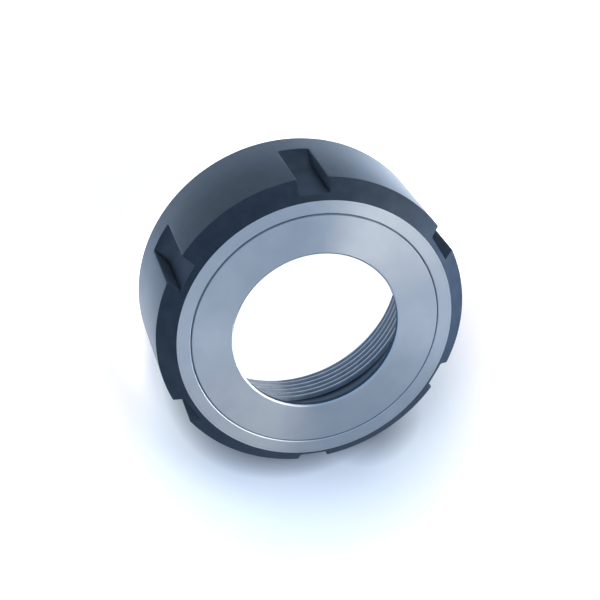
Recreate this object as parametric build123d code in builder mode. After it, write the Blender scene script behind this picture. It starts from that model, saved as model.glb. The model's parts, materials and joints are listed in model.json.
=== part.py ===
from build123d import *
import os
from math import asin, degrees, floor, radians, sin, sqrt, tan

# Collet nut with a ball-bearing ring, resting on its rear face with its front face up.
# Millimetres. The nut's axis is Z and the rear face lies on z = 0.

# Thread for the spindle nose, bored plain at its minor radius
thread_radius = 25.0
thread_pitch = 1.5
minor_radius = thread_radius - 0.5413 * thread_pitch

# Outside of the nut
nut_length = 25.5
body_wall = 6.5                 # from the thread's major radius to the outside
nose_depth = 3.1                # length of the front cone along the axis
nose_height = 3.5               # drop of the front cone across the axis
rear_chamfer = 1.4
outer_radius = thread_radius + body_wall
face_radius = outer_radius - nose_height

# Spanner slots, milled in from the front
slot_count = 6
slot_width = 6.0
slot_depth = 2.5
slot_length = 18.2              # from the front face to where the cutter leaves the outside
slot_cutter_radius = 8.0
slot_pitch_angle = 360 / slot_count
slot_floor_radius = outer_radius - slot_depth
slot_run_out = sqrt(slot_cutter_radius**2 - (slot_cutter_radius - slot_depth) ** 2)

# Pocket for the bearing ring, which is also the relief behind the thread
relief_allowance = 0.2          # pocket radius over the thread's major radius
relief_length = 4.4             # open space from the ring's rear face to the thread's chamfer
running_clearance = 0.08        # radial, between the ring and the nut
pocket_radius = thread_radius + relief_allowance
ring_radius = pocket_radius - running_clearance

# Bearing ring, flush with the front face
bore_radius = 16.8
land_length = 1.2               # straight wall of the bore, with its edge chamfer
bore_chamfer = 0.3
seat_angle = 30.0               # slope of the collet seat from the axis
ring_wall = 4.37                # from the mouth of the collet seat to the ring's outside
flange_pocket_length = 0.56     # room for the collet's front flange behind the seat
lip_thickness = 1.5
lip_allowance = 0.45            # radius of the lip's opening over that of the seat's mouth
lip_offset = 1.3                # how far the lip's opening lies off the axis
lip_lead_in = 0.5
seam_chamfer = 0.2
ring_rear_chamfer = 0.4
seat_mouth_radius = ring_radius - ring_wall
seat_length = (seat_mouth_radius - bore_radius) / tan(radians(seat_angle))
ring_depth = land_length + seat_length + flange_pocket_length + lip_thickness
ring_rear_z = nut_length - ring_depth
lip_radius = seat_mouth_radius + lip_allowance

# Ends of the thread
lead_in_length = 2.3            # tapered mouth of the thread at the rear face
lead_in_angle = 30.0
thread_top_z = ring_rear_z - relief_length - (pocket_radius - minor_radius)
mouth_radius = minor_radius + lead_in_length * tan(radians(lead_in_angle))

# Balls and their grooves, on the seam between ring and nut
ball_radius = 1.5875
ball_depth = 5.0                # from the front face to the ball centres
groove_clearance = 0.0625       # groove radius over ball radius
ball_circle_radius = pocket_radius - running_clearance / 2
groove_radius = ball_radius + groove_clearance
ball_z = nut_length - ball_depth
ball_count = floor(180 / degrees(asin(ball_radius / ball_circle_radius)))

# Radial hole that the balls are loaded through, between two slots at the back
loading_clearance = 0.11        # hole radius over ball radius
plug_clearance = 0.02           # radial, between the plug and its hole
loading_angle = 1.5 * slot_pitch_angle
loading_radius = ball_radius + loading_clearance
plug_radius = loading_radius - plug_clearance
loading_plane = Plane.XZ.rotated((0, 0, loading_angle - 90)).offset(-ball_circle_radius)

overrun = 1.0                   # how far cutting tools reach past a surface


# Outer form of the nut: rear chamfer, cylinder and front cone, solid to the axis
with BuildPart() as outer_form:
    with BuildSketch(Plane.XZ):
        with BuildLine():
            Polyline(
                (0, 0),
                (outer_radius - rear_chamfer, 0),
                (outer_radius, rear_chamfer),
                (outer_radius, nut_length - nose_depth),
                (face_radius, nut_length),
                (0, nut_length),
                close=True,
            )
        make_face()
    revolve(axis=Axis.Z)

# Cavity: ring pocket, thread relief with its chamfer, thread bore and tapered mouth
with BuildPart() as cavity:
    with BuildSketch(Plane.XZ):
        with BuildLine():
            Polyline(
                (0, 0),
                (mouth_radius, 0),
                (minor_radius, lead_in_length),
                (minor_radius, thread_top_z),
                (pocket_radius, thread_top_z + pocket_radius - minor_radius),
                (pocket_radius, nut_length - seam_chamfer),
                (pocket_radius + seam_chamfer, nut_length),
                (0, nut_length),
                close=True,
            )
        make_face()
        with Locations((ball_circle_radius, ball_z)):
            Circle(groove_radius)
    revolve(axis=Axis.Z)

# One spanner slot at angle zero: a flat floor that the cutter's radius carries out to the surface
with BuildPart() as slot_cut:
    with BuildSketch(Plane.XZ) as slot_side:
        with Locations((slot_floor_radius, nut_length - slot_length + slot_run_out)):
            Rectangle(
                slot_depth + overrun,
                slot_length - slot_run_out + overrun,
                align=(Align.MIN, Align.MIN),
            )
            with Locations((slot_cutter_radius, 0)):
                Circle(slot_cutter_radius)
    extrude(amount=slot_width / 2, both=True)

with BuildPart() as nut_body:
    add(outer_form.part)
    add(cavity.part, mode=Mode.SUBTRACT)
    with PolarLocations(0, slot_count):
        add(slot_cut.part, mode=Mode.SUBTRACT)
    with BuildSketch(loading_plane):
        with Locations((0, ball_z)):
            Circle(loading_radius)
    extrude(amount=-(outer_radius - ball_circle_radius + overrun), mode=Mode.SUBTRACT)

# The plug fills the loading hole: its inner end carries the ball groove on, its outer end is flush
with BuildPart() as filler_plug:
    with BuildSketch(loading_plane):
        with Locations((0, ball_z)):
            Circle(plug_radius)
    extrude(amount=-(outer_radius - ball_circle_radius + overrun))
    add(outer_form.part, mode=Mode.INTERSECT)
    add(cavity.part, mode=Mode.SUBTRACT)

with BuildPart() as bearing_ring:
    with BuildSketch(Plane.XZ):
        with BuildLine():
            Polyline(
                (bore_radius, nut_length - bore_chamfer),
                (bore_radius + bore_chamfer, nut_length),
                (ring_radius - seam_chamfer, nut_length),
                (ring_radius, nut_length - seam_chamfer),
                (ring_radius, ring_rear_z + ring_rear_chamfer),
                (ring_radius - ring_rear_chamfer, ring_rear_z),
                (lip_radius - lip_offset - overrun, ring_rear_z),
                (lip_radius - lip_offset - overrun, ring_rear_z + lip_thickness),
                (seat_mouth_radius, ring_rear_z + lip_thickness),
                (seat_mouth_radius, ring_rear_z + lip_thickness + flange_pocket_length),
                (bore_radius, nut_length - land_length),
                close=True,
            )
        make_face()
        with Locations((ball_circle_radius, ball_z)):
            Circle(groove_radius, mode=Mode.SUBTRACT)
    revolve(axis=Axis.Z)
    # Extraction lip: the opening is bored off centre, so that one side hooks the collet's groove
    with BuildSketch(Plane.XY.offset(ring_rear_z)):
        with Locations((0, lip_offset)):
            Circle(lip_radius)
    extrude(amount=lip_thickness, mode=Mode.SUBTRACT)
    rear_face = bearing_ring.faces().sort_by(Axis.Z)[0]
    chamfer(rear_face.inner_wires()[0].edges(), lip_lead_in)

balls = []
for number in range(1, ball_count + 1):
    with BuildPart() as ball:
        with Locations(Location((0, 0, ball_z), (0, 0, number * 360 / ball_count))):
            with Locations((ball_circle_radius, 0, 0)):
                Sphere(ball_radius)
    ball.part.label = f"ball_{number:02d}"
    balls.append(ball.part)

nut_body.part.label = "nut_body"
filler_plug.part.label = "filler_plug"
bearing_ring.part.label = "bearing_ring"

os.makedirs("parts", exist_ok=True)
for piece in (nut_body.part, filler_plug.part, bearing_ring.part, *balls):
    export_step(piece, f"parts/{piece.label}.step")

# Play between neighbouring balls, which must stay above zero
ball_play = 2 * (ball_circle_radius * sin(radians(180 / ball_count)) - ball_radius)
print("balls", ball_count, "play", round(ball_play, 3), "ring depth", round(ring_depth, 2))
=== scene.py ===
"""Looks of the collet nut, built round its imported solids: finishes, thread, edges, light and camera."""

import json
from math import acos, asin, atan2, cos, hypot, pi, radians, sin, sqrt, tan

import bmesh
import bpy
from mathutils import Matrix, Vector


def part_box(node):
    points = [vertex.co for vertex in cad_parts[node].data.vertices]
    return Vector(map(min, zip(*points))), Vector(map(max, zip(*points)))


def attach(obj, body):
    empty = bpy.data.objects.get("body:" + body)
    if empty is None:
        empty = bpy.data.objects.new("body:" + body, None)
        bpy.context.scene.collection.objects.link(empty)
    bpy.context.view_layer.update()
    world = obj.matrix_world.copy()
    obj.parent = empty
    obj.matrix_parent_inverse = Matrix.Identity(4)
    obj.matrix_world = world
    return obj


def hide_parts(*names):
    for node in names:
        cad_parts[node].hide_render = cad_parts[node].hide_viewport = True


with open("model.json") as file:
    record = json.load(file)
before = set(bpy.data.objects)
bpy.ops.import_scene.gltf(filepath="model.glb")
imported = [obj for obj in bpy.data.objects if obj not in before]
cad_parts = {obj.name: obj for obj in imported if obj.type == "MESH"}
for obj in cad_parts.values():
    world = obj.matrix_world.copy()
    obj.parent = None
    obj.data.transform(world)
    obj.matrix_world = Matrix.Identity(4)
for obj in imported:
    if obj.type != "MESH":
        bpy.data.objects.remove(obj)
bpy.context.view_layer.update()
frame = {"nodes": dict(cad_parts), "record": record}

# Sizes are in millimetres, and meshes are scaled to metres when they are made
MM = 0.001


def size(value):
    """A length of the frame in millimetres, freed of the rounding of its mesh."""
    return round(value / MM, 2)


mounts = {mount["name"]: mount for mount in frame["record"]["mounts"]}
nut_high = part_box("nut_body")[1]
ring_low, ring_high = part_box("bearing_ring")
ball_low, ball_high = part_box("ball_49")

# Sizes read from the frame
outer_radius = size(nut_high.y)
nut_length = size(nut_high.z)
ring_radius = size(ring_high.y)
ring_rear_z = size(ring_low.z)
ball_radius = (ball_high.z - ball_low.z) / 2 / MM
ball_z = size((ball_high.z + ball_low.z) / 2)
bore_radius = mounts["ring_bore"]["dims"]["r_mm"]
minor_radius = mounts["spindle_thread"]["dims"]["r_mm"]

# Sizes that the solids were made with
thread_radius = 25.0
thread_pitch = 1.5
nose_depth = 3.1
nose_height = 3.5
rear_chamfer = 1.4
slot_count = 6
slot_width = 6.0
slot_depth = 2.5
slot_length = 18.2
slot_cutter_radius = 8.0
pocket_radius = 25.2
seam_chamfer = 0.2
lead_in_length = 2.3
lead_in_angle = 30.0
relief_length = 4.4
land_length = 1.2
bore_chamfer = 0.3
seat_mouth_radius = 20.75
lip_thickness = 1.5
flange_pocket_length = 0.56
lip_radius = 21.2
lip_offset = 1.3
lip_lead_in = 0.5
ring_rear_chamfer = 0.4
groove_clearance = 0.0625
loading_clearance = 0.11

# Form of the cut thread, which the solids leave out
flank_angle = 30.0              # of each flank, from the plane across the axis
crest_share = 0.25              # the flat crest's width over the pitch
crest_round = 0.06

# Edge breaks that the eye sees but the solids leave out
slot_edge_round = 0.3
run_out_round = 0.05
crease_round = 0.3
rear_edge_round = 0.25
face_edge_round = 0.04
ring_edge_round = 0.05
bore_edge_round = 0.12

# Fineness of the meshes
round_columns = 360
arc_steps = 20                  # along the outside, from a slot's edge to half way to the next slot
floor_steps = 4                 # across half a slot's floor
corner_steps = 4
groove_steps = 14
hole_columns = 64
sharp_angle = 32                # degrees: flatter edges than this are shaded smooth
weld_distance = 0.0008
sliver_length = 0.0004

# Phases of the pitch at which the thread has a row of points
thread_rows = (-0.5, -0.44, -0.34, -0.23, -0.14, -0.11, 0.11, 0.14, 0.23, 0.34, 0.44)

# Spacing of the rows down the nut's outside
wide_spacing = 1.6
run_out_spacing = 0.4
fine_spacing = 0.05
fine_below_slot_end = 0.1
fine_above_slot_end = 0.4
fine_beside_cone = 0.3

# Sizes that follow
face_radius = outer_radius - nose_height
slot_floor_radius = outer_radius - slot_depth
slot_run_out = sqrt(slot_cutter_radius**2 - (slot_cutter_radius - slot_depth) ** 2)
slot_end_z = nut_length - slot_length
slot_flat_z = slot_end_z + slot_run_out
floor_meets_cone_z = nut_length - (slot_floor_radius - face_radius) * nose_depth / nose_height
relief_z = ring_rear_z - relief_length
thread_top_z = relief_z - (pocket_radius - minor_radius)
mouth_radius = minor_radius + lead_in_length * tan(radians(lead_in_angle))
ball_circle_radius = (pocket_radius + ring_radius) / 2
groove_radius = ball_radius + groove_clearance
seat_end_z = ring_rear_z + lip_thickness + flange_pocket_length

# Places of the finishes in a piece's list of materials. The ring has the first three.
TURNED, GROUND, MACHINED, SMOOTH, MILLED = range(5)


# Lines of (radius, height) pairs, and rings of points


def rounded(points, radii):
    """The line through the points, with arcs of the radii at its inner corners."""
    line = [points[0]]
    for before, corner, after, radius in zip(points, points[1:], points[2:], radii):
        into = (Vector(corner) - Vector(before)).normalized()
        out = (Vector(after) - Vector(corner)).normalized()
        turn = acos(max(-1, min(1, into.dot(out))))
        reach = radius * tan(turn / 2)
        start = Vector(corner) - into * reach
        side = Vector((-into.y, into.x))
        if side.dot(out) < 0:
            side = -side
        centre = start + side * radius
        for step in range(corner_steps + 1):
            angle = turn * step / corner_steps
            line.append(tuple(centre - side * radius * cos(angle) + into * radius * sin(angle)))
    line.append(points[-1])
    return line


def subdivided(line, spacing):
    """The line with more points, no further apart than spacing(height) asks."""
    fine = [line[0]]
    nearly_nothing = 1e-6
    for start, end in zip(line, line[1:]):
        reached = 0.0
        length = hypot(end[0] - start[0], end[1] - start[1])
        while length - reached > nearly_nothing:
            height = start[1] + (end[1] - start[1]) * reached / length
            reached = min(length, reached + spacing(height))
            if length - reached < spacing(height) / 3:
                reached = length
            share = reached / length
            fine.append((start[0] + (end[0] - start[0]) * share, start[1] + (end[1] - start[1]) * share))
    return fine


def groove_line(wall_radius):
    """The ball groove in a wall of the nut or the ring, from its upper to its lower edge."""
    side = 1 if wall_radius > ball_circle_radius else -1
    opening = asin(abs(wall_radius - ball_circle_radius) / groove_radius)
    line = []
    for step in range(groove_steps + 1):
        angle = pi / 2 - side * opening - side * (pi - 2 * opening) * step / groove_steps
        line.append((ball_circle_radius + groove_radius * cos(angle), ball_z + groove_radius * sin(angle)))
    return line


def soft_min(first, second, width):
    """The smaller of two values, with the corner between them rounded over the width."""
    overlap = max(width - abs(first - second), 0) / width
    return min(first, second) - overlap * overlap * width / 4


def around(radius, angle, height):
    """The point at a radius, an angle about the nut's axis and a height."""
    return Vector((radius * cos(angle), radius * sin(angle), height))


def circle(radius, height):
    """A ring of points about the nut's axis."""
    return [around(radius, 2 * pi * column / round_columns, height) for column in range(round_columns)]


# Faces from rings of points


def add_bands(mesh, rings, finish):
    """Joins each ring to the next with quads, all the way round. Gives the rings' rows of vertices."""
    rows = [[mesh.verts.new(point) for point in ring] for ring in rings]
    for lower, upper in zip(rows, rows[1:]):
        for here in range(len(lower)):
            after = (here + 1) % len(lower)
            face = mesh.faces.new((lower[here], lower[after], upper[after], upper[here]))
            face.material_index = finish
    return rows


def add_turned(mesh, line, finish):
    """The surface that a line sweeps round the nut's axis. Gives its rows of vertices."""
    return add_bands(mesh, [circle(radius, height) for radius, height in line], finish)


def add_annulus(mesh, inner, outer, finish, up):
    """Fills the flat ring between two loops, whatever their numbers of vertices, to face up or down."""

    def angle(vertex):
        return atan2(vertex.co.y, vertex.co.x) % (2 * pi)

    inner = sorted(inner, key=angle)
    outer = sorted(outer, key=angle)
    past_the_end = 3 * pi
    inner_done = outer_done = 0
    while inner_done < len(inner) or outer_done < len(outer):
        inside = inner[inner_done % len(inner)]
        outside = outer[outer_done % len(outer)]
        inner_angle = angle(inside) if inner_done < len(inner) else past_the_end
        outer_angle = angle(outside) if outer_done < len(outer) else past_the_end
        if inner_angle <= outer_angle:
            inner_done += 1
            corner = inner[inner_done % len(inner)]
        else:
            outer_done += 1
            corner = outer[outer_done % len(outer)]
        corners = (inside, outside, corner) if up else (inside, corner, outside)
        face = mesh.faces.new(corners)
        face.material_index = finish


def weld(mesh):
    """Makes one vertex of those that meet."""
    bmesh.ops.remove_doubles(mesh, verts=mesh.verts, dist=weld_distance)


# Pieces from meshes


def new_object(mesh, name, materials):
    """An object in the scene from a mesh in metres."""
    data = bpy.data.meshes.new(name)
    mesh.to_mesh(data)
    mesh.free()
    for material in materials:
        data.materials.append(material)
    made = bpy.data.objects.new(name, data)
    bpy.context.scene.collection.objects.link(made)
    return made


def finished(mesh, name, body, node, materials):
    """Makes the piece from its mesh: welded, in metres, on its body and in place of its node."""
    weld(mesh)
    bmesh.ops.dissolve_degenerate(mesh, edges=mesh.edges, dist=sliver_length)
    bmesh.ops.recalc_face_normals(mesh, faces=mesh.faces)
    bmesh.ops.scale(mesh, verts=mesh.verts, vec=(MM, MM, MM))
    piece = new_object(mesh, name, materials)
    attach(piece, body)
    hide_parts(node)
    return piece


def apply_modifiers(piece):
    """Makes what the modifiers give the piece's own mesh."""
    depsgraph = bpy.context.evaluated_depsgraph_get()
    data = bpy.data.meshes.new_from_object(piece.evaluated_get(depsgraph), depsgraph=depsgraph)
    piece.modifiers.clear()
    old = piece.data
    piece.data = data
    data.name = piece.name
    bpy.data.meshes.remove(old)


def shade(piece):
    """Smooth shading with its sharp edges kept, weighted so that flats stay flat beside small rounds."""
    piece.data.shade_smooth()
    piece.data.set_sharp_from_angle(angle=radians(sharp_angle))
    modifier = piece.modifiers.new("flats", "WEIGHTED_NORMAL")
    modifier.keep_sharp = True
    apply_modifiers(piece)


# The nut


def slot_floor(height):
    """How far a slot's floor lies from the axis, along the slot's middle, at a height."""
    below = slot_flat_z - height
    if below <= 0:
        return slot_floor_radius
    if below >= slot_cutter_radius:
        clear_of_the_nut = 2 * outer_radius
        return clear_of_the_nut
    return slot_floor_radius + slot_cutter_radius - sqrt(slot_cutter_radius**2 - below**2)


def outer_ring(radius, height):
    """The nut's outline at a height: round, with the spanner slots and their broken edges."""
    half_width = slot_width / 2
    floor = slot_floor(height)

    def outside(y):
        return sqrt(radius**2 - y**2)

    # Half a sector: the slot's floor from its middle, its broken edge, and the outside up to half way
    half = []
    for step in range(floor_steps + 1):
        y = half_width * step / floor_steps
        half.append((soft_min(outside(y), floor, run_out_round), y))
    wall = outside(half_width) - half[-1][0]
    edge = min(slot_edge_round, wall / 2)
    for step in range(corner_steps + 1):
        angle = pi / 2 * step / corner_steps
        y = half_width + edge * (1 - cos(angle))
        half.append((outside(y) - edge * (1 - sin(angle)), y))
    start = asin(half[-1][1] / radius)
    end = pi / slot_count
    for step in range(1, arc_steps + 1):
        angle = start + (end - start) * step / arc_steps
        half.append((radius * cos(angle), radius * sin(angle)))

    sector = [(x, -y) for x, y in reversed(half[1:-1])] + half
    ring = []
    for number in range(slot_count):
        turn = Matrix.Rotation(2 * pi * number / slot_count, 3, "Z")
        ring += [turn @ Vector((x, y, height)) for x, y in sector]
    return ring


def outer_spacing(height):
    """Rows lie close where a slot's floor leaves the outside or the cone, and wide apart elsewhere."""
    fine_stretches = (
        (slot_end_z - fine_below_slot_end, slot_end_z + fine_above_slot_end),
        (floor_meets_cone_z - fine_beside_cone, floor_meets_cone_z + fine_beside_cone),
    )
    wide = run_out_spacing if slot_end_z <= height < slot_flat_z else wide_spacing
    for low, high in fine_stretches:
        if low <= height < high:
            return fine_spacing
        if height < low:
            return min(wide, max(fine_spacing, low - height))
    return wide


def add_outside(mesh):
    """The rear chamfer, the cylinder with its slots and the cone. Gives the front face's outer edge."""
    outline = rounded(
        [
            (minor_radius, 0),
            (outer_radius - rear_chamfer, 0),
            (outer_radius, rear_chamfer),
            (outer_radius, nut_length - nose_depth),
            (face_radius, nut_length),
            (pocket_radius, nut_length),
        ],
        [rear_edge_round / 2, rear_edge_round, crease_round, face_edge_round],
    )
    rows = subdivided(outline[1:-1], outer_spacing)
    front_edge = add_bands(mesh, [outer_ring(radius, height) for radius, height in rows], TURNED)[-1]
    mesh.normal_update()

    # The cylinder's faces lie at the full radius, and the slots' walls face round the axis
    cylinder_from = outer_radius - 0.03
    wall_facing = 0.9
    for face in mesh.faces:
        centre = face.calc_center_median()
        round_axis = Vector((-centre.y, centre.x, 0)).normalized()
        if hypot(centre.x, centre.y) > cylinder_from:
            face.material_index = SMOOTH
        elif abs(face.normal.dot(round_axis)) > wall_facing:
            face.material_index = MILLED
    return front_edge


def add_pocket(mesh):
    """The seam's chamfer, the pocket with its ball groove, and the relief. Gives the seam's outer edge."""
    pocket = rounded(
        [
            (face_radius, nut_length),
            (pocket_radius + seam_chamfer, nut_length),
            (pocket_radius, nut_length - seam_chamfer),
            (pocket_radius, ball_z),
        ],
        [ring_edge_round, ring_edge_round],
    )[1:-1]
    chamfer_rows = corner_steps + 2
    seam_edge = add_turned(mesh, pocket[:chamfer_rows], GROUND)[0]
    wall = pocket[chamfer_rows - 1 :] + groove_line(pocket_radius)
    add_turned(mesh, wall, MACHINED)
    # The relief takes the black finish, which also paints the shade behind the ring
    add_turned(mesh, [wall[-1], (pocket_radius, relief_z)], TURNED)
    return seam_edge


def thread_profile(phase):
    """The thread's radius at a phase of its pitch, from -0.5 to 0.5, with the crest at zero."""
    flank = minor_radius + (abs(phase) - crest_share / 2) * thread_pitch / tan(radians(flank_angle))
    low = -soft_min(-flank, -minor_radius, crest_round)
    return soft_min(low, thread_radius, crest_round)


def thread_rings():
    """Rows that follow the helix, cut off by the tapered mouth and by the chamfer towards the relief."""
    pitches = range(-1, int(relief_z / thread_pitch) + 2)
    rings = []
    for step in [pitch + row for pitch in pitches for row in thread_rows]:
        profile = thread_profile((step + 0.5) % 1 - 0.5)
        ring = []
        for column in range(round_columns + 1):
            turn = column / round_columns
            height = (step + turn) * thread_pitch
            clamped = max(0.0, min(relief_z, height))
            cut = profile if height == clamped else minor_radius
            mouth = mouth_radius - clamped * tan(radians(lead_in_angle))
            chamfer = minor_radius + clamped - thread_top_z
            ring.append(around(max(cut, mouth, chamfer), 2 * pi * turn, clamped))
        rings.append(ring)
    return rings


def add_thread(mesh):
    """The cut thread with its tapered mouth, and the chamfer behind it, left black, which also paints the
    shade behind the ring.
    """
    rows = [[mesh.verts.new(point) for point in ring] for ring in thread_rings()]
    for lower, upper in zip(rows, rows[1:]):
        for here in range(round_columns):
            after = here + 1
            face = mesh.faces.new((lower[here], upper[here], upper[after], lower[after]))
            # The chamfer towards the relief takes the black finish, which also paints the shade behind the
            # ring
            face.material_index = TURNED if lower[here].co.z > thread_top_z else MACHINED


def add_rear_face(mesh):
    """The rear face, from the thread's mouth to the rear chamfer."""
    above_the_rear = 1e-4
    between = (mouth_radius + outer_radius) / 2
    rear = [vertex for vertex in mesh.verts if vertex.co.z < above_the_rear]
    mouth_edge = [vertex for vertex in rear if vertex.co.xy.length < between]
    chamfer_edge = [vertex for vertex in rear if vertex.co.xy.length > between]
    add_annulus(mesh, mouth_edge, chamfer_edge, TURNED, up=False)


def make_nut(materials):
    """The nut's body in one mesh, from its outside round to its thread."""
    mesh = bmesh.new()
    front_edge = add_outside(mesh)
    seam_edge = add_pocket(mesh)
    add_thread(mesh)
    add_annulus(mesh, seam_edge, front_edge, GROUND, up=True)
    weld(mesh)
    add_rear_face(mesh)
    return finished(mesh, "nut", "nut", "nut_body", materials)


def bore_loading_hole(nut, material):
    """Bores the hole that the balls are loaded through, so that its plug shows as a fine circle."""
    plug_low, plug_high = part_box("filler_plug")
    middle = (plug_low + plug_high) / 2
    hole_radius = (ball_radius + loading_clearance) * MM
    mesh = bmesh.new()
    bmesh.ops.create_cone(
        mesh,
        cap_ends=True,
        segments=hole_columns,
        radius1=hole_radius,
        radius2=hole_radius,
        depth=2 * (outer_radius - ball_circle_radius) * MM,
    )
    cutter = new_object(mesh, "loading_hole_cutter", [material])
    cutter.rotation_euler = (pi / 2, 0, 0)
    cutter.location = (middle.x, outer_radius * MM, middle.z)
    modifier = nut.modifiers.new("loading_hole", "BOOLEAN")
    modifier.operation = "DIFFERENCE"
    modifier.solver = "MANIFOLD"
    modifier.material_mode = "TRANSFER"
    modifier.object = cutter
    apply_modifiers(nut)
    data = cutter.data
    bpy.data.objects.remove(cutter)
    bpy.data.meshes.remove(data)


# The bearing ring


def lip_ring(radius, height):
    """A circle about the lip's own centre, with its points at even angles about the nut's axis."""
    ring = []
    for column in range(round_columns):
        angle = 2 * pi * column / round_columns
        reach = lip_offset * sin(angle) + sqrt(radius**2 - (lip_offset * cos(angle)) ** 2)
        ring.append(around(reach, angle, height))
    return ring


def make_ring(materials):
    """The ring's face, its outside with the ball groove, and its inside from the lip up to the bore."""
    mesh = bmesh.new()
    face = rounded(
        [
            (bore_radius, nut_length - bore_chamfer),
            (bore_radius + bore_chamfer, nut_length),
            (ring_radius - seam_chamfer, nut_length),
        ],
        [bore_edge_round],
    )
    outside = [
        (ring_radius - seam_chamfer, nut_length),
        (ring_radius, nut_length - seam_chamfer),
        *groove_line(ring_radius),
        (ring_radius, ring_rear_z + ring_rear_chamfer),
        (ring_radius - ring_rear_chamfer, ring_rear_z),
    ]
    inside = [
        circle(ring_radius - ring_rear_chamfer, ring_rear_z),
        lip_ring(lip_radius + lip_lead_in, ring_rear_z),
        lip_ring(lip_radius, ring_rear_z + lip_lead_in),
        lip_ring(lip_radius, ring_rear_z + lip_thickness),
        circle(seat_mouth_radius, ring_rear_z + lip_thickness),
        circle(seat_mouth_radius, seat_end_z),
        circle(bore_radius, nut_length - land_length),
        circle(bore_radius, nut_length - bore_chamfer),
    ]
    add_turned(mesh, face, GROUND)
    add_turned(mesh, outside, MACHINED)
    # The inside takes the black finish, which paints the shade in the ring's bore
    add_bands(mesh, inside, TURNED)
    return finished(mesh, "ring", "ring", "bearing_ring", materials)


# Materials


class Nodes:
    """Short calls for the nodes of a tree."""

    def __init__(self, tree):
        self.tree = tree

    def node(self, kind, inputs=None, **settings):
        """A new node. Inputs are constants or other nodes' outputs, by socket name or number."""
        made = self.tree.nodes.new("ShaderNode" + kind)
        for key, value in settings.items():
            setattr(made, key, value)
        for socket, value in (inputs or {}).items():
            if isinstance(value, bpy.types.NodeSocket):
                self.tree.links.new(value, made.inputs[socket])
            else:
                made.inputs[socket].default_value = value
        return made

    def number(self, operation, first, second):
        """The result of an operation on two numbers."""
        return self.node("Math", {0: first, 1: second}, operation=operation).outputs[0]

    def vector(self, operation, *values):
        """The result of a vector operation, which is a number for a length, a distance or a dot product."""
        made = self.node("VectorMath", dict(enumerate(values)), operation=operation)
        gives_number = operation in ("LENGTH", "DISTANCE", "DOT_PRODUCT")
        return made.outputs["Value" if gives_number else "Vector"]

    def span(self, value, low, high, start=0, end=1):
        """A number that runs from start to end while the value runs from low to high."""
        return self.node("MapRange", {0: value, 1: low, 2: high, 3: start, 4: end}).outputs[0]

    def fade(self, factor, first, second):
        """A colour that runs from the first to the second by the factor."""
        return self.node("Mix", {0: factor, 6: first, 7: second}, data_type="RGBA").outputs[2]

    def ramp(self, value, stops):
        """Colours over the value. Stops are (place, colour) pairs, where one number stands for a grey."""
        made = self.node("ValToRGB", {0: value})
        elements = made.color_ramp.elements
        while len(elements) < len(stops):
            elements.new(0.5)
        for element, (place, colour) in zip(elements, stops):
            element.position = place
            element.color = (*colour, 1) if isinstance(colour, tuple) else (colour, colour, colour, 1)
        return made.outputs[0]


class Steel(Nodes):
    """A steel's node tree: one principled shader, and short calls for what feeds it."""

    # Between these two a noise has nearly all its values
    noise_low = 0.3
    noise_high = 0.7

    def __init__(self, name, settings):
        self.material = bpy.data.materials.new(name)
        self.material.use_nodes = True
        super().__init__(self.material.node_tree)
        self.surface = self.tree.nodes["Principled BSDF"]
        for socket, value in {"Metallic": 1.0, **settings}.items():
            self.surface.inputs[socket].default_value = value

    def link(self, output, socket):
        """Feeds a socket of the shader."""
        self.tree.links.new(output, self.surface.inputs[socket])

    def place(self):
        """Object coordinates in millimetres."""
        return self.vector("MULTIPLY", self.node("TexCoord").outputs["Object"], (1 / MM, 1 / MM, 1 / MM))

    def lay(self):
        """A vector of the radius and the height in millimetres, the same all round the axis."""
        parts = self.node("SeparateXYZ", {0: self.place()}).outputs
        flat = self.node("CombineXYZ", {0: parts[0], 1: parts[1]}).outputs[0]
        return self.node("CombineXYZ", {0: self.vector("LENGTH", flat), 2: parts[2]}).outputs[0]

    def noise(self, vector, scale, detail):
        """A cloudy value, finer for a larger scale."""
        return self.node("TexNoise", {"Vector": vector, "Scale": scale, "Detail": detail}).outputs[0]

    def tone(self, noise, dark, light):
        """The surface's colour runs from dark to light by the noise."""
        self.link(self.ramp(noise, [(self.noise_low, dark), (self.noise_high, light)]), "Base Color")

    def roughness(self, noise, low, high):
        """The surface's roughness runs from low to high by the noise."""
        self.link(self.span(noise, self.noise_low, self.noise_high, low, high), "Roughness")

    def bump(self, noise, strength, depth):
        """Marks in the surface, with their depth in millimetres."""
        made = self.node("Bump", {"Height": noise, "Strength": strength, "Distance": depth * MM})
        self.link(made.outputs[0], "Normal")

    def run_round_axis(self):
        """The lay of the finish runs round the axis."""
        quarter_turn = 0.25
        self.surface.inputs["Anisotropic Rotation"].default_value = quarter_turn
        self.link(self.node("Tangent", direction_type="RADIAL", axis="Z").outputs[0], "Tangent")


def blackened_steel(name, dark, light, edge, anisotropy, roughness):
    """Hardened steel with a black oxide finish over its fine marks. Edge is its tint at grazing angles."""
    steel = Steel(name, {"Anisotropic": anisotropy, "Specular Tint": (*edge, 1)})
    cloud = steel.noise(steel.place(), scale=0.35, detail=4)
    grain = steel.noise(steel.place(), scale=9, detail=2)
    marks = steel.noise(steel.lay(), scale=7, detail=5)
    spread = 0.03
    steel.tone(cloud, dark, light)
    steel.roughness(grain, roughness - spread, roughness + spread)
    steel.bump(marks, strength=0.25, depth=0.01)
    steel.run_round_axis()
    return steel.material


def turned_steel():
    """The cone, the slots' floors, the rear, the relief behind the thread and the ring's inside. On the
    relief and the ring's inside the black is partly painted shade.
    """
    dark, light = (0.032, 0.042, 0.056), (0.042, 0.054, 0.070)
    edge = (0.58, 0.68, 0.82)
    return blackened_steel("blackened_turned", dark, light, edge, anisotropy=0.5, roughness=0.5)


def smooth_steel():
    """The cylinder, ground before it was blackened."""
    dark, light = (0.018, 0.024, 0.032), (0.023, 0.030, 0.039)
    edge = (0.76, 0.86, 0.97)
    return blackened_steel("blackened_ground", dark, light, edge, anisotropy=0.4, roughness=0.26)


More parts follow.
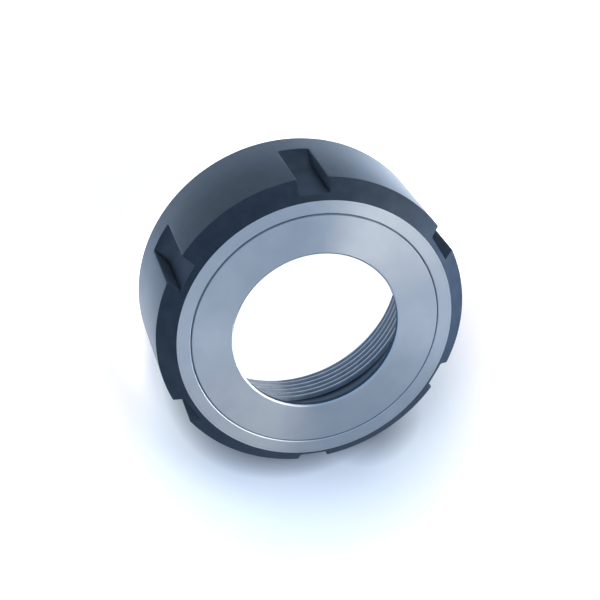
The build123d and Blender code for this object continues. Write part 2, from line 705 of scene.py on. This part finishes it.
def milled_steel():
    """The slots' walls, left matt by the cutter."""
    dark, light = (0.070, 0.090, 0.120), (0.085, 0.105, 0.135)
    edge = (0.72, 0.80, 0.92)
    return blackened_steel("blackened_milled", dark, light, edge, anisotropy=0.2, roughness=0.85)


def ground_steel():
    """Hardened steel ground on a rotary table, with its lay round the axis."""
    steel = Steel("ground_steel", {"Anisotropic": 0.95})
    smudge = steel.noise(steel.place(), scale=0.22, detail=5)
    rings = steel.noise(steel.lay(), scale=11, detail=6)
    steel.tone(smudge, (0.53, 0.57, 0.62), (0.59, 0.62, 0.66))
    steel.roughness(rings, 0.27, 0.32)
    steel.bump(rings, strength=0.1, depth=0.004)
    steel.run_round_axis()
    return steel.material


def machined_steel():
    """The thread, the ring's pocket and the ring's outside, thinly blackened."""
    steel = Steel("machined_steel", {"Anisotropic": 0.3})
    cloud = steel.noise(steel.place(), scale=0.5, detail=4)
    marks = steel.noise(steel.lay(), scale=12, detail=5)
    steel.tone(cloud, (0.22, 0.24, 0.275), (0.285, 0.305, 0.335))
    steel.roughness(marks, 0.26, 0.36)
    steel.bump(marks, strength=0.15, depth=0.006)
    steel.run_round_axis()
    return steel.material


def ball_steel():
    """Polished bearing steel with a breath of oil."""
    steel = Steel("ball_steel", {"Coat Weight": 0.3, "Coat Roughness": 0.1})
    film = steel.noise(steel.place(), scale=1.2, detail=3)
    steel.tone(film, (0.62, 0.64, 0.66), (0.70, 0.72, 0.74))
    steel.roughness(film, 0.06, 0.12)
    return steel.material


def dress(node, material):
    """Gives a CAD node a material in place of its plain one."""
    for material_slot in node.material_slots:
        material_slot.material = material


# Pieces and their finishes
turned = turned_steel()
smooth = smooth_steel()
milled = milled_steel()
ground = ground_steel()
machined = machined_steel()
nut = make_nut([turned, ground, machined, smooth, milled])
bore_loading_hole(nut, machined)
shade(nut)
ring = make_ring([turned, ground, machined])
shade(ring)

polished = ball_steel()
for name, node in frame["nodes"].items():
    if name.startswith("ball_"):
        dress(node, polished)
dress(frame["nodes"]["filler_plug"], turned)


# Floor, world and lamps

# Where the camera stands, in degrees round from +X. The floor's painted glow and shade and the lamps are
# placed by it.
camera_azimuth = -94.24

# Colours of the lamps' light
warm_light = (1, 0.937, 0.833)
blue_light = (0.75, 0.82, 1)
cool_light = (0.84, 0.97, 1.1)


def direction(azimuth, elevation):
    """A unit vector, from degrees round from the camera's side and degrees up from the floor."""
    turn = radians(camera_azimuth + azimuth)
    rise = radians(elevation)
    return Vector((cos(turn) * cos(rise), sin(turn) * cos(rise), sin(rise)))


def turn_by(angle, axis):
    """A turn about an axis by degrees."""
    return Matrix.Rotation(radians(angle), 3, axis)


class Floor(Nodes):
    """The floor's node tree, which goes by the distance from points on the floor, given in metres."""

    def __init__(self, tree):
        super().__init__(tree)
        self.place = self.node("TexCoord").outputs["Object"]

    def tenths(self, azimuth, distance):
        """The distance from a point that is placed from the axis, in tenths of a metre to suit a ramp."""
        away = self.vector("DISTANCE", self.place, direction(azimuth, 0) * distance)
        return self.number("MULTIPLY", away, 10)

    def product(self, first, second):
        """One colour times another."""
        return self.vector("MULTIPLY", first, second)

    def glow(self):
        """Painted light: a glow under the nut, along its foot on the camera's side and beyond it, and white
        far away.
        """
        middle = self.tenths(0, 0)
        # Painted light: a white pool under the nut, where its shade falls, shows through the bore
        under = self.ramp(middle, [(0.25, (1.0, 1.08, 1.18)), (0.30, 0)])

        # Painted light: a pale glow along the nut's foot on the camera's side, which the cylinder mirrors
        pale = (0.68, 0.70, 0.74)
        foot = self.ramp(self.tenths(180, 0.003), [(0.29, 0), (0.31, pale), (0.365, pale), (0.41, 0)])
        out_of_shadow = self.ramp(self.tenths(160, 0.022), [(0.32, 0), (0.44, 1)])

        # Painted light: a warm glow beyond the nut, kept off its foot, that lightens the edges of the shadow
        near, far = (0.11, 0.09, 0.03), (0.26, 0.14, 0.05)
        beyond = self.ramp(self.tenths(160, 0.04), [(0.18, 0), (0.32, near), (0.44, far)])
        clear_of_nut = self.ramp(self.tenths(160, 0.012), [(0.25, 0), (0.34, 1)])

        painted_glow = self.vector("ADD", under, self.product(beyond, clear_of_nut))
        painted_glow = self.vector("ADD", painted_glow, self.product(foot, out_of_shadow))
        white = (1, 1, 1, 1)
        return self.fade(self.span(middle, 1.5, 6), painted_glow, white)

    def paint(self):
        """A pale grey for the lamps to light, with painted shadow where the nut's shadow falls, a painted
        contact shade by its far rim and painted shade before the nut.
        """
        # Painted shadow: the paint darkens where the nut's shadow falls behind it
        shadow = self.ramp(self.tenths(160, 0.022), [(0.24, 0.42), (0.27, 0.62), (0.30, 0.9)])
        # Painted contact shade: a darker patch of paint by the nut's far rim
        end = self.ramp(self.tenths(181, 0.045), [(0.04, 0.5), (0.12, 1)])
        # Painted shade: darker paint before the nut, which the cylinder mirrors
        before = self.ramp(self.tenths(-5, 0.045), [(0.30, 0.68), (0.46, 1)])
        return self.product(self.product(shadow, end), before)


def make_floor():
    """A pale table, whose paint carries painted shadow and shade for the lamps to light, with a painted glow
    for the camera and the steel, and clear from below.
    """
    floor_width = 6000
    floor_gap = 0.05
    material = bpy.data.materials.new("floor")
    material.use_nodes = True
    material.node_tree.nodes.clear()
    nodes = Floor(material.node_tree)
    path = nodes.node("LightPath").outputs
    seen = nodes.number("ADD", path["Is Camera Ray"], path["Is Glossy Ray"])
    seen = nodes.number("ADD", seen, path["Is Transmission Ray"])
    # The emission is painted light, and the diffuse paint carries painted shade
    glow = nodes.node("Emission", {"Color": nodes.glow(), "Strength": seen}).outputs[0]
    paint = nodes.node("BsdfDiffuse", {"Color": nodes.paint()}).outputs[0]
    both = nodes.node("AddShader", {0: glow, 1: paint}).outputs[0]
    from_below = nodes.node("NewGeometry").outputs["Backfacing"]
    clear = nodes.node("BsdfTransparent").outputs[0]
    surface = nodes.node("MixShader", {0: from_below, 1: both, 2: clear}).outputs[0]
    nodes.node("OutputMaterial", {"Surface": surface})
    bpy.ops.mesh.primitive_plane_add(size=floor_width * MM, location=(0, 0, -floor_gap * MM))
    floor = bpy.context.object
    floor.name = "floor"
    floor.data.materials.append(material)


def make_world():
    """A pale blue room for the steel to mirror, with a dark patch beyond the nut. Diffuse light is even."""
    world = bpy.data.worlds.new("studio")
    bpy.context.scene.world = world
    world.use_nodes = True
    nodes = Nodes(world.node_tree)
    way = nodes.node("TexCoord").outputs["Generated"]
    facing_patch = nodes.span(nodes.vector("DOT_PRODUCT", way, direction(166, 33)), -1, 1)
    stops = [
        (0.0, (0.44, 0.57, 0.75)),
        (0.54, (0.36, 0.56, 0.84)),
        (0.735, (0.62, 0.84, 1.08)),
        (0.92, (0.82, 0.93, 1.08)),
        (0.975, (0.01, 0.02, 0.06)),
    ]
    even = (0.13, 0.18, 0.31, 1)
    is_diffuse = nodes.node("LightPath").outputs["Is Diffuse Ray"]
    tint = nodes.fade(is_diffuse, nodes.ramp(facing_patch, stops), even)
    world.node_tree.links.new(tint, world.node_tree.nodes["Background"].inputs["Color"])


def add_lamp(name, azimuth, elevation, distance, width, height, power, colour, mirrored, roll=0):
    """A soft box that faces the nut. A mirrored one only shows in the steel, others only light the floor."""
    data = bpy.data.lights.new(name, "AREA")
    data.shape = "RECTANGLE"
    data.size = width
    data.size_y = height
    data.energy = power
    data.color = colour
    lamp = bpy.data.objects.new(name, data)
    bpy.context.scene.collection.objects.link(lamp)
    offset = direction(azimuth, elevation) * distance
    lamp.location = Vector((0, 0, nut_length * MM)) + offset
    turn = offset.to_track_quat("Z", "Y").to_matrix() @ turn_by(roll, "Z")
    lamp.rotation_euler = turn.to_euler()
    lamp.visible_glossy = mirrored
    lamp.visible_diffuse = not mirrored


# The camera, in millimetres and degrees. Its place is taken from the middle of the nut's front face,
# and its turns are about its own axes.
camera_lens = 87.19
camera_sensor = 36
camera_clip = 10.0
camera_polar = 32.284
camera_distance = 286.05
camera_roll = 240.371
camera_yaw = -1.419
camera_pitch = -0.039


def make_camera():
    """The camera at the photograph's place."""
    polar = radians(camera_polar)
    back = Vector((sin(polar), 0, cos(polar)))
    right = Vector((0, 1, 0)).cross(back).normalized()
    up = back.cross(right)
    base = Matrix((right, up, back)).transposed()
    own = turn_by(camera_pitch, "X") @ turn_by(camera_yaw, "Y") @ turn_by(camera_roll, "Z")
    turn = turn_by(camera_azimuth, "Z")
    data = bpy.data.cameras.new("camera")
    data.lens = camera_lens
    data.sensor_width = camera_sensor
    data.sensor_fit = "HORIZONTAL"
    data.clip_start = camera_clip * MM
    camera = bpy.data.objects.new("camera", data)
    bpy.context.scene.collection.objects.link(camera)
    place = turn @ back * camera_distance * MM + Vector((0, 0, nut_length * MM))
    camera.matrix_world = Matrix.Translation(place) @ (turn @ base @ own).to_4x4()
    bpy.context.scene.camera = camera


make_floor()
make_world()
make_camera()

# Soft boxes, in metres and degrees
add_lamp(
    "window", azimuth=260.5, elevation=37, distance=0.6, width=0.58, height=0.68,
    power=2.65, colour=warm_light, mirrored=True, roll=-15,
)
add_lamp(
    "strip", azimuth=230, elevation=6, distance=0.6, width=0.6, height=0.12,
    power=2.4, colour=blue_light, mirrored=True,
)
add_lamp(
    "key", azimuth=1.8, elevation=27.6, distance=0.9, width=0.74, height=0.74,
    power=16.5, colour=cool_light, mirrored=False,
)
add_lamp(
    "side", azimuth=297.3, elevation=43.5, distance=0.9, width=0.43, height=0.43,
    power=5.4, colour=cool_light, mirrored=False,
)
bpy.context.scene.view_settings.view_transform = "Standard"
